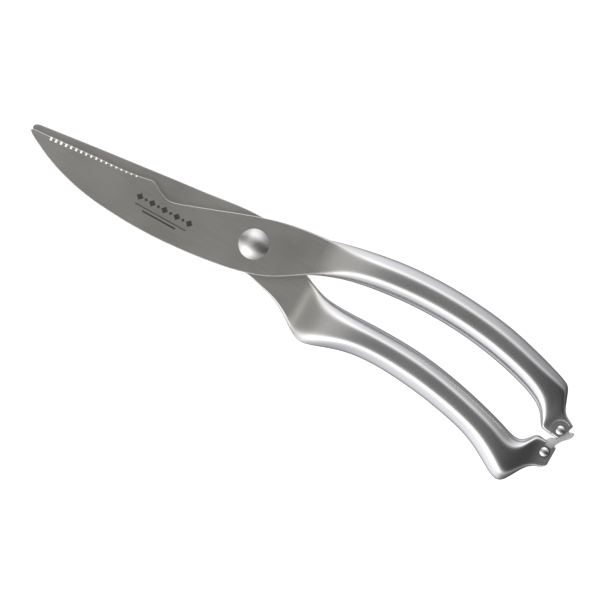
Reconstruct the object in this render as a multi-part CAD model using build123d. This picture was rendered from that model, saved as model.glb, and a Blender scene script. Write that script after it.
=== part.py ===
from build123d import *
import os
from math import atan2, cos, degrees, hypot, pi, sin

os.makedirs("parts", exist_ok=True)

# All-steel poultry shears lying flat, closed. Units mm.
# Origin: pivot axis, on the plane the shears rest on. +X runs from the pivot to the handle ends,
# +Y is the side of the handle that is fixed to the front blade, +Z is up, out of the front face.

# ---- driving dimensions -------------------------------------------------------------------------
MID_Z = 6.5             # height of the plane in which the two blades slide on each other
BLADE_T = 2.8           # thickness of each blade
BLADE_GAP = 0.05        # half of the running gap between the two blades
HANDLE_H = 6.48         # half the height of the hollow handles
SHEET = 1.2             # wall of the pressed handle shells
TAB_H = 2.4             # half the height over both sheets of the flattened handle ends
TAB_SLOT = 0.9          # half the width of the slot between those sheets
ROOT_X = 26.0           # where the blades are welded into the handles
EDGE_CHAMFER = 0.35     # small chamfer round the outer face of each blade

PIVOT_R = 3.0           # rivet shank
PIVOT_HEAD_R = 6.2      # domed front head
PIVOT_HEAD_H = 2.0
REAR_HEAD_R = 5.8       # flat rear head, which the shears rest on
REAR_HEAD_H = 2.7
RUN_CLEAR = 0.05        # radial running clearance of the pivot and of the latch

SPRING_POCKET_R = 7.6   # round pocket for the opening spring, half in each blade
SPRING_POCKET_D = 1.0
SPRING_WIRE_R = 0.42

SCALLOPS = 18           # ground scallops along the front blade's cutting edge
SCALLOP_PITCH = 2.18
SCALLOP_R = 0.62

LATCH_T = 1.5           # latch plate
LATCH_PIN = (141.9, -16.4)
CATCH_PIN = (143.4, -5.7)
SMALL_HEAD_R = 1.85     # heads of the two small pins
SMALL_HEAD_H = 0.6
LATCH_SHANK_R = 1.3
CATCH_SHANK_R = 0.9

FRONT_Z = MID_Z + BLADE_GAP + BLADE_T     # outer face of the front blade
REAR_Z = MID_Z - BLADE_GAP - BLADE_T      # outer face of the rear blade


# ---- helpers ------------------------------------------------------------------------------------
def plate(edges, z_low, z_high):
    """A flat plate between two heights with the closed outline given by its edges."""
    outline = make_face(Curve() + edges)
    return Pos(0, 0, z_low) * extrude(outline, z_high - z_low, dir=(0, 0, 1))


def disc(radius, z_low, z_high, at=(0, 0)):
    """An upright cylinder."""
    return Pos(at[0], at[1], (z_low + z_high) / 2) * Cylinder(radius, z_high - z_low)


# Half section of a handle as (share of half width, share of height), from one side to the other:
# a slightly crowned top, a rounded crest and a sloping side wall; and the same for a flat tab.
ROUND = [(1.0, 0.0), (0.98, 0.20), (0.88, 0.47), (0.71, 0.73), (0.53, 0.90), (0.28, 0.98), (0.0, 1.0)]
FLAT = [(1.0, 0.0), (1.0, 0.35), (0.985, 0.70), (0.95, 0.90), (0.87, 0.98), (0.50, 1.0), (0.0, 1.0)]


def profile(side_a, side_b, height, flatness, inset, up):
    """The arched line of a handle section between two points of the outline."""
    ax, ay = side_a
    bx, by = side_b
    length = hypot(bx - ax, by - ay)
    ux, uy = (bx - ax) / length, (by - ay) / length
    cx, cy = (ax + bx) / 2, (ay + by) / 2
    half = length / 2 - inset
    shares = [(r[0] + (f[0] - r[0]) * flatness, r[1] + (f[1] - r[1]) * flatness)
              for r, f in zip(ROUND, FLAT)]
    arch = [(-s, z) for s, z in shares] + [(s, z) for s, z in reversed(shares[:-1])]
    points = [(cx + ux * half * s, cy + uy * half * s, MID_Z + up * height * z) for s, z in arch]
    return Spline(*points)


def section(station, up):
    """Closed section of one pressed shell at a station (side_a, side_b, height, wall, flatness)."""
    side_a, side_b, height, wall, flatness = station
    outer = profile(side_a, side_b, height, flatness, 0.0, up)
    inner = profile(side_a, side_b, height - wall, flatness, SHEET, up)
    ends = [Line(outer @ 0, inner @ 0), Line(outer @ 1, inner @ 1)]
    return make_face(Curve() + [outer, inner] + ends)


def shell(stations, up):
    """One pressed half of a hollow handle, above (up=1) or below (up=-1) the middle plane."""
    return loft([section(s, up) for s in stations])


def scallop(index):
    """Cutter for one ground scallop on the front blade's edge; index 0 is nearest the tip."""
    x = -91.3 + SCALLOP_PITCH * index
    y = -1.7 + 0.0815 * (x + 91.3)
    reach = 1.5 - 0.9 * index / (SCALLOPS - 1)
    lean = degrees(atan2(1.6, reach))
    cutter = Cylinder(SCALLOP_R, 6.0)
    return Pos(x, y, FRONT_Z - 1.6) * Rot(90 - lean, 0, 0) * cutter


# ---- front blade, fixed to the upper handle ------------------------------------------------------
front_spine = Spline(
    (ROOT_X, 0.3), (20, -3.5), (15, -6.6), (10, -9.1), (0, -12.3), (-14, -14.9), (-30, -16.6),
    (-44, -17.1), (-56, -16.65), (-68, -15.45), (-80, -12.75), (-88, -9.95), (-94, -7.2),
    (-99.6, -4.2),
)
front_tip = ThreePointArc((-99.6, -4.2), (-100.7, -3.0), (-99.9, -2.2))
front_edge = Spline((-99.9, -2.2), (-91.3, -1.7), (-73, -0.2), (-55, 1.3), (-50, 2.2), (-46.8, 2.6))
bone_notch = Spline(
    (-46.8, 2.6), (-44.8, 1.7), (-42, 0.0), (-38.2, -1.2), (-34, -0.4), (-30, 1.0),
)
front_heel = Spline((-30, 1.0), (-20, 4.6), (-10, 8.3), (0, 11.6), (10, 14.1), (20, 15.6), (ROOT_X, 16.2))
front_root = Line((ROOT_X, 16.2), (ROOT_X, 0.3))

front_blade = plate(
    [front_spine, front_tip, front_edge, bone_notch, front_heel, front_root],
    MID_Z + BLADE_GAP, FRONT_Z,
)
face_edges = [e for e in front_blade.faces().sort_by(Axis.Z)[-1].edges() if e.center().X < ROOT_X - 0.1]
front_blade = chamfer(face_edges, EDGE_CHAMFER)
for i in range(SCALLOPS):
    front_blade -= scallop(i)
front_blade -= disc(PIVOT_R + RUN_CLEAR, 0, 20)
front_blade -= disc(SPRING_POCKET_R, 0, MID_Z + BLADE_GAP + SPRING_POCKET_D)
front_blade += Pos(ROOT_X + 3, 9.8, MID_Z + 0.65) * Box(8, 6, 1.2)

# ---- rear blade, fixed to the lower handle -------------------------------------------------------
rear_edge = Spline(
    (-99.6, -3.0), (-90, -5.6), (-75, -8.6), (-55, -10.6), (-35, -11.4), (-15, -11.7), (3, -11.8),
    (10, -13.4), (18, -15.9), (22, -18.0), (ROOT_X, -20.6),
)
rear_root = Line((ROOT_X, -20.6), (ROOT_X, -1.2))
rear_top = Spline((ROOT_X, -1.2), (24.0, -0.4), (19, 3.2), (13, 7.4), (7, 10.3), (-2, 11.2))
rear_spine = Spline((-2, 11.2), (-30, 8.5), (-60, 5.1), (-90, 1.8), (-99.3, 0.3))
rear_tip = ThreePointArc((-99.3, 0.3), (-100.4, -1.4), (-99.6, -3.0))
rear_blade = plate([rear_edge, rear_root, rear_top, rear_spine, rear_tip], REAR_Z, MID_Z - BLADE_GAP)
rear_face = rear_blade.faces().sort_by(Axis.Z)[0]
face_edges = [e for e in rear_face.edges() if e.length > 60 and e.center().X < ROOT_X - 0.1]
rear_blade = chamfer(face_edges, EDGE_CHAMFER)
rear_blade -= disc(PIVOT_R + RUN_CLEAR, 0, 20)
rear_blade -= disc(SPRING_POCKET_R, MID_Z - BLADE_GAP - SPRING_POCKET_D, 20)
rear_blade += Pos(ROOT_X + 3, -11.5, MID_Z - 0.65) * Box(8, 8, 1.2)

# ---- pivot ---------------------------------------------------------------------------------------
dome_r = (PIVOT_HEAD_R ** 2 + PIVOT_HEAD_H ** 2) / (2 * PIVOT_HEAD_H)
dome = Pos(0, 0, FRONT_Z + PIVOT_HEAD_H - dome_r) * Sphere(dome_r)
head = disc(PIVOT_HEAD_R, FRONT_Z, FRONT_Z + 4) & dome
pivot_rivet = head + disc(PIVOT_R, 1.0, FRONT_Z + 0.5)

pivot_rear_head = disc(REAR_HEAD_R, 0, REAR_HEAD_H)
pivot_rear_head = fillet(pivot_rear_head.faces().sort_by(Axis.Z)[0].edges(), 0.6)
pivot_rear_head -= disc(PIVOT_R, 1.0, 5)

pivot_washer = disc(REAR_HEAD_R + 1.0, REAR_HEAD_H, REAR_Z) - disc(PIVOT_R + RUN_CLEAR, 0, 20)

turns = 2.25
spiral = []
for i in range(28):
    angle = 2 * pi * turns * i / 27
    radius = 3.75 + 1.35 * angle / (2 * pi)
    spiral.append((radius * cos(angle), radius * sin(angle), MID_Z))
coil = Spline(*spiral)
wire = Plane(origin=coil @ 0, z_dir=coil % 0) * Circle(SPRING_WIRE_R)
pivot_spring = sweep(wire, path=coil)

# ---- upper handle --------------------------------------------------------------------------------
# Stations: outer side, inner side, height above the middle plane, wall at the crown, flatness.
upper_front = [
    ((26.0, 16.2), (26.0, 0.3), 2.85, 1.2, 0.90),
    ((30.0, 17.5), (30.5, 2.4), 3.3, 1.2, 0.75),
    ((38.0, 19.5), (38.5, 5.1), 4.8, 1.2, 0.40),
    ((46.0, 20.9), (46.5, 6.8), 5.9, 1.2, 0.15),
    ((56.0, 22.5), (56.0, 8.2), 6.4, 1.2, 0.0),
    ((68.0, 23.4), (68.0, 9.3), HANDLE_H, 1.2, 0.0),
    ((80.0, 23.5), (79.5, 9.4), HANDLE_H, 1.2, 0.0),
    ((92.0, 22.7), (90.5, 8.8), HANDLE_H, 1.2, 0.0),
    ((104.0, 21.3), (101.5, 7.4), HANDLE_H, 1.2, 0.0),
    ((115.0, 18.9), (111.5, 5.4), HANDLE_H, 1.2, 0.0),
    ((125.0, 16.1), (121.0, 3.0), 6.4, 1.2, 0.0),
    ((132.5, 13.8), (127.5, 0.6), 5.8, 1.2, 0.1),
    ((138.0, 10.0), (132.3, -2.3), 4.6, 1.3, 0.3),
    ((140.2, 4.6), (134.6, -5.3), 3.3, 1.4, 0.6),
    ((142.4, 0.9), (137.0, -8.5), TAB_H, 1.5, 0.9),
    ((144.6, -0.2), (140.6, -9.0), TAB_H, 1.5, 0.95),
    ((147.2, -1.9), (144.8, -9.2), TAB_H, 1.5, 0.95),
]
# Below the middle plane the same outline, but growing out of the plane of the blades.
rear_grow = [0.4, 1.6, 4.3, 5.8, 6.4]
upper_rear = []
for i, s in enumerate(upper_front):
    if i < len(rear_grow):
        s = (s[0], s[1], rear_grow[i], min(1.2, 0.6 * rear_grow[i]), s[4])
    upper_rear.append(s)

# Beyond its last bend each pressing is flat: that end is a sheet of its own, and the latch passes
# between the front and the rear one. The upper sheets are cut off on a slant beside the catch pin.
latch_slot = Pos(140, -10, MID_Z) * Box(40, 60, 2 * TAB_SLOT)
upper_end = plate(
    [Polyline((132.0, -17.2), (147.36, 9.53), (165, 9.53), (165, -17.2), close=True)], 0, 13,
)
slant = plate(
    [Polyline((144.3, -9.6), (145.0, -7.5), (145.6, -5.9), (147.3, -4.2), (150, -4.2), (150, -9.6), close=True)],
    0, 13,
)
upper_cuts = latch_slot + slant + disc(CATCH_SHANK_R + 0.02, 0, 13, CATCH_PIN)
upper_front_pressing = shell(upper_front, 1)
upper_rear_pressing = shell(upper_rear, -1)
upper_handle_front_shell = upper_front_pressing - upper_end
upper_handle_rear_shell = upper_rear_pressing - upper_end
upper_end_front_sheet = (upper_front_pressing & upper_end) - upper_cuts
upper_end_rear_sheet = (upper_rear_pressing & upper_end) - upper_cuts

# ---- lower handle --------------------------------------------------------------------------------
lower_rear = [
    ((26.0, -20.6), (26.0, -1.2), 2.85, 1.2, 0.90),
    ((30.0, -23.2), (30.0, -2.9), 3.3, 1.2, 0.75),
    ((34.8, -25.3), (34.8, -4.5), 4.2, 1.2, 0.50),
    ((39.5, -24.4), (39.0, -5.2), 5.1, 1.2, 0.30),
    ((46.0, -22.0), (46.0, -5.4), 5.9, 1.2, 0.15),
    ((56.0, -19.4), (56.0, -5.1), 6.4, 1.2, 0.0),
    ((66.0, -18.8), (66.0, -5.0), HANDLE_H, 1.2, 0.0),
    ((78.0, -19.5), (79.0, -5.4), HANDLE_H, 1.2, 0.0),
    ((90.0, -21.0), (92.0, -7.2), HANDLE_H, 1.2, 0.0),
    ((102.0, -23.3), (105.0, -9.9), HANDLE_H, 1.2, 0.0),
    ((112.0, -26.0), (116.0, -12.8), HANDLE_H, 1.2, 0.0),
    ((120.0, -30.2), (124.0, -15.1), 6.3, 1.2, 0.0),
    ((128.5, -35.2), (129.5, -16.0), 5.6, 1.2, 0.1),
    ((133.4, -33.6), (133.2, -13.9), 4.6, 1.3, 0.25),
    ((137.0, -28.2), (136.4, -11.7), 3.3, 1.4, 0.5),
    ((140.2, -23.7), (140.0, -11.9), TAB_H, 1.5, 0.85),
    ((145.2, -20.9), (145.4, -12.4), TAB_H, 1.5, 0.95),
]
front_grow = [0.4, 1.6, 3.0, 4.5, 5.8, 6.4]
lower_front = []
for i, s in enumerate(lower_rear):
    if i < len(front_grow):
        s = (s[0], s[1], front_grow[i], min(1.2, 0.6 * front_grow[i]), s[4])
    lower_front.append(s)

lower_end = Pos(160.1, -10, MID_Z) * Box(40, 60, 13)
latch_swing_room = Pos(142.8, -14.9, MID_Z) * Box(8.4, 10.6, 2 * TAB_SLOT)
latch_notch = Pos(142.5, -12.6, MID_Z + 3) * Box(3.6, 2.6, 6)
lower_cuts = latch_slot + disc(LATCH_SHANK_R + 0.02, 0, 13, LATCH_PIN)
lower_front_pressing = shell(lower_front, 1)
lower_rear_pressing = shell(lower_rear, -1)
lower_handle_front_shell = lower_front_pressing - lower_end - latch_swing_room
lower_handle_rear_shell = lower_rear_pressing - lower_end - latch_swing_room
lower_end_front_sheet = (lower_front_pressing & lower_end) - lower_cuts - latch_notch
lower_end_rear_sheet = (lower_rear_pressing & lower_end) - lower_cuts

# ---- small pins and latch ------------------------------------------------------------------------
def small_pin(at, shank_r):
    """A pin through both sheets of a handle end, with a low domed head on each."""
    ball_r = (SMALL_HEAD_R ** 2 + SMALL_HEAD_H ** 2) / (2 * SMALL_HEAD_H)
    pin = disc(shank_r, MID_Z - TAB_H - 0.2, MID_Z + TAB_H + 0.2, at)
    for up in (1, -1):
        ball = Pos(at[0], at[1], MID_Z + up * (TAB_H + SMALL_HEAD_H - ball_r)) * Sphere(ball_r)
        slab = Pos(at[0], at[1], MID_Z + up * (TAB_H + 2)) * Cylinder(SMALL_HEAD_R, 4)
        pin += ball & slab
    return pin


catch_pin = small_pin(CATCH_PIN, CATCH_SHANK_R)
latch_pin = small_pin(LATCH_PIN, LATCH_SHANK_R)

latch_outline = [
    Spline((140.4, -14.2), (140.6, -12.4), (141.3, -10.6), (143.9, -9.0), (145.1, -6.9), (145.25, -4.9)),
    Line((145.25, -4.9), (144.65, -4.2)),
    Spline((144.65, -4.2), (145.2, -3.5), (146.3, -3.5), (147.2, -4.6)),
    Spline((147.2, -4.6), (148.2, -4.15), (149.3, -4.3), (149.1, -5.9), (148.3, -7.3)),
    Spline((148.3, -7.3), (146.5, -9.1), (145.2, -11.0), (144.3, -13.0), (144.4, -15.0)),
    ThreePointArc((144.4, -15.0), (141.9, -19.2), (140.4, -14.2)),
]
latch_lever = plate(latch_outline, MID_Z - LATCH_T / 2, MID_Z + LATCH_T / 2)
thumb = plate(
    [Polyline((147.6, -7.3), (148.3, -7.3), (149.1, -5.9), (149.3, -4.4), (148.5, -4.4), (148.2, -6.0), close=True)],
    MID_Z - 1.6, MID_Z + 1.6,
)
latch_lever += thumb
latch_lever -= disc(LATCH_SHANK_R + RUN_CLEAR, 0, 13, LATCH_PIN)

# ---- output --------------------------------------------------------------------------------------
nodes = {
    "front_blade": front_blade,
    "rear_blade": rear_blade,
    "pivot_rivet": pivot_rivet,
    "pivot_rear_head": pivot_rear_head,
    "pivot_washer": pivot_washer,
    "pivot_spring": pivot_spring,
    "upper_handle_front_shell": upper_handle_front_shell,
    "upper_handle_rear_shell": upper_handle_rear_shell,
    "lower_handle_front_shell": lower_handle_front_shell,
    "lower_handle_rear_shell": lower_handle_rear_shell,
    "upper_end_front_sheet": upper_end_front_sheet,
    "upper_end_rear_sheet": upper_end_rear_sheet,
    "lower_end_front_sheet": lower_end_front_sheet,
    "lower_end_rear_sheet": lower_end_rear_sheet,
    "catch_pin": catch_pin,
    "latch_pin": latch_pin,
    "latch_lever": latch_lever,
}
for name, shape in nodes.items():
    export_step(shape, os.path.join("parts", name + ".step"))
    box = shape.bounding_box()
    print(name, len(shape.solids()), round(shape.volume, 1), box.min, box.max)
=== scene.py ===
"""Looks of the all-steel poultry shears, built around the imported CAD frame.

Every length in the classes below is in millimetres in the CAD frame: the origin is on the pivot
axis in the resting plane, +X runs to the handle ends and +Z is up, out of the front faces.
"""

from __future__ import annotations

import logging
import math
from dataclasses import dataclass, replace
from enum import Enum
from typing import Callable, Sequence

import bmesh
import bpy
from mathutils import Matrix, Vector

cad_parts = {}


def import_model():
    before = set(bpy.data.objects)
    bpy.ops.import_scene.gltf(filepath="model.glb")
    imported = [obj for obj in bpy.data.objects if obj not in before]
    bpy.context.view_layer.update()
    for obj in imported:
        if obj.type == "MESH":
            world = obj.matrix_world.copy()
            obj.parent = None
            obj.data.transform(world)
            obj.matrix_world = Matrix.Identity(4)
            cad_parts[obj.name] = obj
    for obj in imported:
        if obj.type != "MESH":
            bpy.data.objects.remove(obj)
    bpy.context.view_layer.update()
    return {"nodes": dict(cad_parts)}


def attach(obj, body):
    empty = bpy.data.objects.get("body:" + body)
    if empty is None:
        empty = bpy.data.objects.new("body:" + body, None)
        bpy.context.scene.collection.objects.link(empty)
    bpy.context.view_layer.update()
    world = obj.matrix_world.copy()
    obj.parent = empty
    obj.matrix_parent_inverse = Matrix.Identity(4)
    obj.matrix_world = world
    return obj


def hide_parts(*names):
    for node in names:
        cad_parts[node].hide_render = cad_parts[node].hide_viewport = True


LOG = logging.getLogger("poultry_shears")

MM = 0.001
MID_Z = 6.5            # plane in which the blades slide on each other
BLADE_T = 2.8
BLADE_GAP = 0.05       # from the middle plane to a blade
FRONT_Z = MID_Z + BLADE_GAP + BLADE_T
REAR_Z = MID_Z - BLADE_GAP - BLADE_T
ROOT_X = 26.0          # where the blades run into the handles
SLOT_HALF = 0.95       # half the slot between the sheets of a handle end
END_HALF = 2.4         # half the thickness of a flattened handle end
PIVOT = (0.0, 0.0)
PIVOT_HOLE = 3.05
PIVOT_CUT = (0.0, 20.0)    # heights of the cutter of its hole
SPRING_POCKET = (7.6, 1.0)    # radius, and depth in each blade
LATCH_PIN = (141.9, -16.4)
CATCH_PIN = (143.4, -5.7)
PLANE_TOLERANCE = 1e-7        # in metres, for cuts along a plane
MERGE = 1e-6                  # in metres, for corners that are one
BLACK = (0.0, 0.0, 0.0, 1.0)
WHITE = (1.0, 1.0, 1.0, 1.0)

Point = tuple[float, float]
Tree = bpy.types.NodeTree
Socket = bpy.types.NodeSocket
Piece = bpy.types.Object


class Body(Enum):
    """The three rigid bodies of the frame."""

    LOWER = "lower_half"
    UPPER = "upper_half"
    LATCH = "latch"


class Corner(Enum):
    """How an outline passes one of its points."""

    SMOOTH = "AUTO"
    SHARP = "VECTOR"


class Side(Enum):
    """Which way a pressed shell faces from the middle plane."""

    FRONT = 1
    REAR = -1


# Points (x, y) that an outline passes smoothly, or (x, y, V) for a sharp corner.
Knots = tuple[tuple[float | Corner, ...], ...]
V = Corner.SHARP
Test = Callable[[Vector], bool]


def metres(*lengths: float) -> list[float]:
    """Turn millimetres into metres."""
    return [length * MM for length in lengths]


# Finishes


def feed(tree: Tree, target: Socket, value: object) -> None:
    """Set an input to a value, or link it if the value is an output."""
    if isinstance(value, Socket):
        tree.links.new(value, target)
    else:
        target.default_value = value


def add_node(tree: Tree, kind: str, **inputs: object) -> bpy.types.Node:
    """Add a shader node and feed its inputs.

    Args:
        tree: Node tree that gets the node.
        kind: Blender's name of the node after "ShaderNode".
        **inputs: Values or outputs by the name of the input, with _ for a space.

    Returns:
        The node.
    """
    node = tree.nodes.new("ShaderNode" + kind)
    for name, value in inputs.items():
        feed(tree, node.inputs[name.replace("_", " ")], value)
    return node


def math_node(tree: Tree, operation: str, *values: object) -> Socket:
    """Add one Math node.

    Args:
        tree: Node tree that gets the node.
        operation: Blender's name of the operation.
        *values: Outputs or numbers for the inputs.

    Returns:
        The output socket.
    """
    node = add_node(tree, "Math")
    node.operation = operation
    for target, value in zip(node.inputs, values):
        feed(tree, target, value)
    return node.outputs[0]


def mix_node(
    tree: Tree, share: Socket, first: object, second: object, kind: str = "RGBA"
) -> Socket:
    """Mix two colours or two numbers.

    Args:
        tree: Node tree that gets the node.
        share: How much of the second one there is.
        first: Output, colour or number.
        second: Output, colour or number.
        kind: "RGBA" for colours or "FLOAT" for numbers.

    Returns:
        The output socket.
    """
    node = add_node(tree, "Mix")
    node.data_type = kind
    low, high, result = {"FLOAT": (2, 3, 0), "RGBA": (6, 7, 2)}[kind]
    for index, value in ((0, share), (low, first), (high, second)):
        feed(tree, node.inputs[index], value)
    return node.outputs[result]


def span_node(
    tree: Tree, value: Socket, low: float, high: float, out_low: float, out_high: float
) -> Socket:
    """Map a value from one span to another, smoothly and clamped.

    Args:
        tree: Node tree that gets the node.
        value: Socket to map.
        low: Start of the span that is read.
        high: End of the span that is read.
        out_low: Result at the start.
        out_high: Result at the end.

    Returns:
        The output socket.
    """
    node = add_node(
        tree, "MapRange", Value=value, From_Min=low, From_Max=high, To_Min=out_low, To_Max=out_high
    )
    node.interpolation_type = "SMOOTHSTEP"
    return node.outputs["Result"]


def curve_node(
    tree: Tree, value: Socket, stops: Sequence[Point], unit: float = 1.0, scale: float = 1.0
) -> Socket:
    """Look a value up on a smooth line through points.

    Args:
        tree: Node tree that gets the nodes.
        value: Socket that is looked up.
        stops: Points (place, value at it).
        unit: Size of one unit of the places.
        scale: Factor of the result.

    Returns:
        The output socket.
    """
    low_x, high_x = stops[0][0], stops[-1][0]
    low, high = min(y for _, y in stops), max(y for _, y in stops)
    share = add_node(tree, "MapRange", Value=value, From_Min=low_x * unit, From_Max=high_x * unit)
    curve = add_node(tree, "FloatCurve", Value=share.outputs["Result"])
    line = curve.mapping.curves[0]
    places = [((x - low_x) / (high_x - low_x), (y - low) / (high - low)) for x, y in stops]
    line.points[0].location = places[0]
    line.points[1].location = places[-1]
    for spot in places[1:-1]:
        line.points.new(*spot)
    for knot in line.points:
        knot.handle_type = "AUTO_CLAMPED"
    curve.mapping.update()
    spread = math_node(tree, "MULTIPLY", curve.outputs[0], (high - low) * scale)
    return math_node(tree, "ADD", spread, low * scale)


class GrindingGrain:
    """Node group for the fine parallel scratches of a belt-ground or brushed surface."""

    NAME = "grinding_grain"
    DETAIL = 4.0
    BREAK_UP = 0.65
    CLOUD_SCALE = 42.0
    CLOUD_DETAIL = 3.0

    @classmethod
    def group(cls) -> Tree:
        """Build the group once.

        Returns:
            The shared node group.
        """
        known = bpy.data.node_groups.get(cls.NAME)
        if known is not None:
            return known
        tree = bpy.data.node_groups.new(cls.NAME, "ShaderNodeTree")
        for name, way, kind in (
            ("Vector", "INPUT", "Vector"), ("Density", "INPUT", "Float"),
            ("Stretch", "INPUT", "Float"), ("Scratches", "OUTPUT", "Float"),
            ("Mottle", "OUTPUT", "Float"),
        ):
            tree.interface.new_socket(name, in_out=way, socket_type="NodeSocket" + kind)
        start = tree.nodes.new("NodeGroupInput").outputs
        end = tree.nodes.new("NodeGroupOutput").inputs
        x, y, z = add_node(tree, "SeparateXYZ", Vector=start["Vector"]).outputs
        drawn_out = math_node(tree, "MULTIPLY", x, start["Stretch"])
        fine = add_node(
            tree, "TexNoise", Scale=start["Density"], Detail=cls.DETAIL, Roughness=cls.BREAK_UP,
            Vector=add_node(tree, "CombineXYZ", X=drawn_out, Y=y, Z=z).outputs[0],
        ).outputs["Fac"]
        clouds = add_node(
            tree, "TexNoise", Scale=cls.CLOUD_SCALE, Detail=cls.CLOUD_DETAIL,
            Vector=start["Vector"],
        ).outputs["Fac"]
        both = math_node(tree, "ADD", fine, clouds)
        feed(tree, end["Scratches"], fine)
        feed(tree, end["Mottle"], math_node(tree, "MULTIPLY", both, 0.5))
        return tree


@dataclass(frozen=True)
class SteelFinish:
    """A stainless steel surface: its colour, gloss and grinding grain.

    line holds points (x, y) in millimetres that the grain runs along, and painted_shade holds
    places x in millimetres with the share of the colour that shows there: painted shading that
    darkens the colour along X where the light left the steel darker. root is the blade's finish
    that a handle starts with, and root_end is the X where none of it is left.
    """

    name: str
    colour: tuple[float, float, float]
    roughness: float
    colour_spread: float = 0.06
    roughness_spread: float = 0.06
    density: float = 1300.0
    stretch: float = 0.03
    relief: float = 0.02
    line: tuple[Point, ...] = ()
    painted_shade: tuple[Point, ...] = ()
    root: SteelFinish | None = None
    root_end: float = 50.0

    CONTRAST = (0.3, 0.7)      # span of the mottle that is used
    GRAIN_DEPTH = 0.0002       # in metres

    def material(self) -> bpy.types.Material:
        """Build the material once.

        Returns:
            The material, which reads Object coordinates.
        """
        known = bpy.data.materials.get(self.name)
        if known is not None:
            return known
        made = bpy.data.materials.new(self.name)
        made.use_nodes = True
        tree = made.node_tree
        place = add_node(tree, "TexCoord").outputs["Object"]
        x, y, z = add_node(tree, "SeparateXYZ", Vector=place).outputs
        if self.line:
            across = math_node(tree, "SUBTRACT", y, curve_node(tree, x, self.line, MM, MM))
            place = add_node(tree, "CombineXYZ", X=x, Y=across, Z=z).outputs[0]
        grain = tree.nodes.new("ShaderNodeGroup")
        grain.node_tree = GrindingGrain.group()
        for name, value in (
            ("Vector", place), ("Density", self.density), ("Stretch", self.stretch)
        ):
            feed(tree, grain.inputs[name], value)
        mottle = grain.outputs["Mottle"]
        low, high = (
            (*(min(1.0, part * (1.0 + spread)) for part in self.colour), 1.0)
            for spread in (-self.colour_spread, self.colour_spread)
        )
        colour = mix_node(tree, span_node(tree, mottle, *self.CONTRAST, 0.0, 1.0), low, high)
        # Painted shading: the colour is darkened towards black along X.
        if self.painted_shade:
            colour = mix_node(tree, curve_node(tree, x, self.painted_shade, MM), BLACK, colour)
        spread = self.roughness_spread
        rough = span_node(
            tree, mottle, *self.CONTRAST, self.roughness - spread, self.roughness + spread
        )
        if self.root is not None:
            away = span_node(tree, x, ROOT_X * MM, self.root_end * MM, 0.0, 1.0)
            colour = mix_node(tree, away, (*self.root.colour, 1.0), colour)
            rough = mix_node(tree, away, self.root.roughness, rough, "FLOAT")
        bump = add_node(
            tree, "Bump", Strength=self.relief, Distance=self.GRAIN_DEPTH,
            Height=grain.outputs["Scratches"],
        )
        shader = tree.nodes["Principled BSDF"]
        for name, value in (
            ("Metallic", 1.0), ("Base Color", colour), ("Roughness", rough),
            ("Normal", bump.outputs["Normal"]),
        ):
            feed(tree, shader.inputs[name], value)
        return made


# Middle lines of the handles, which their grain follows.
UPPER_LINE = (
    (26, 8.2), (40, 12.6), (57, 15.4), (68, 16.4), (80, 16.4), (92, 15.6), (104, 14.0),
    (115, 11.5), (128, 7.4), (142, 0.0),
)
LOWER_LINE = (
    (26, -10.9), (36, -15.0), (50, -13.0), (66, -11.9), (79, -12.4), (92, -14.2),
    (105, -16.7), (116, -20.0), (128, -25.0), (142, -22.0),
)

# The blade's colour is darkened along X by painted shading that stands in for light.
BLADE_STEEL = SteelFinish(
    "ground_blade_steel", (0.58, 0.566, 0.538), 0.34, 0.075, 0.03, 2600.0, relief=0.01,
    painted_shade=((-100, 0.92), (-45, 0.81), (-15, 0.95), (0, 0.88), (16, 0.87), (30, 1.0)),
)
HONED_STEEL = SteelFinish("honed_scallop_steel", (0.90, 0.90, 0.90), 0.15, stretch=1.0)
UPPER_STEEL = SteelFinish(
    "brushed_upper_handle_steel", (0.66, 0.66, 0.665), 0.23, 0.025, 0.02, 2600.0, relief=0.004,
    line=UPPER_LINE, root=BLADE_STEEL,
)
LOWER_STEEL = replace(UPPER_STEEL, name="brushed_lower_handle_steel", line=LOWER_LINE)
DOME_STEEL = SteelFinish(
    "turned_dome_steel", (0.68, 0.675, 0.67), 0.30, density=500.0, stretch=1.0, relief=0.01
)
PIN_STEEL = SteelFinish(
    "pin_steel", (0.74, 0.74, 0.735), 0.25, density=700.0, stretch=1.0, relief=0.01
)
LATCH_STEEL = SteelFinish(
    "tumbled_latch_steel", (0.80, 0.80, 0.80), 0.55, density=1400.0, stretch=1.0, relief=0.05
)
WIRE_STEEL = SteelFinish("drawn_wire_steel", (0.45, 0.45, 0.46), 0.35, stretch=1.0)
# Near-black finish of the painted shadow rings round the pin heads, not a recess in the steel.
PAINTED_RECESS_SHADOW = SteelFinish("painted_recess_shadow", (0.10, 0.10, 0.105), 0.55, stretch=1.0)
ETCHED = SteelFinish("etched_mark", (0.10, 0.10, 0.10), 0.60, colour_spread=0.15, stretch=1.0)


# Modelling


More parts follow.
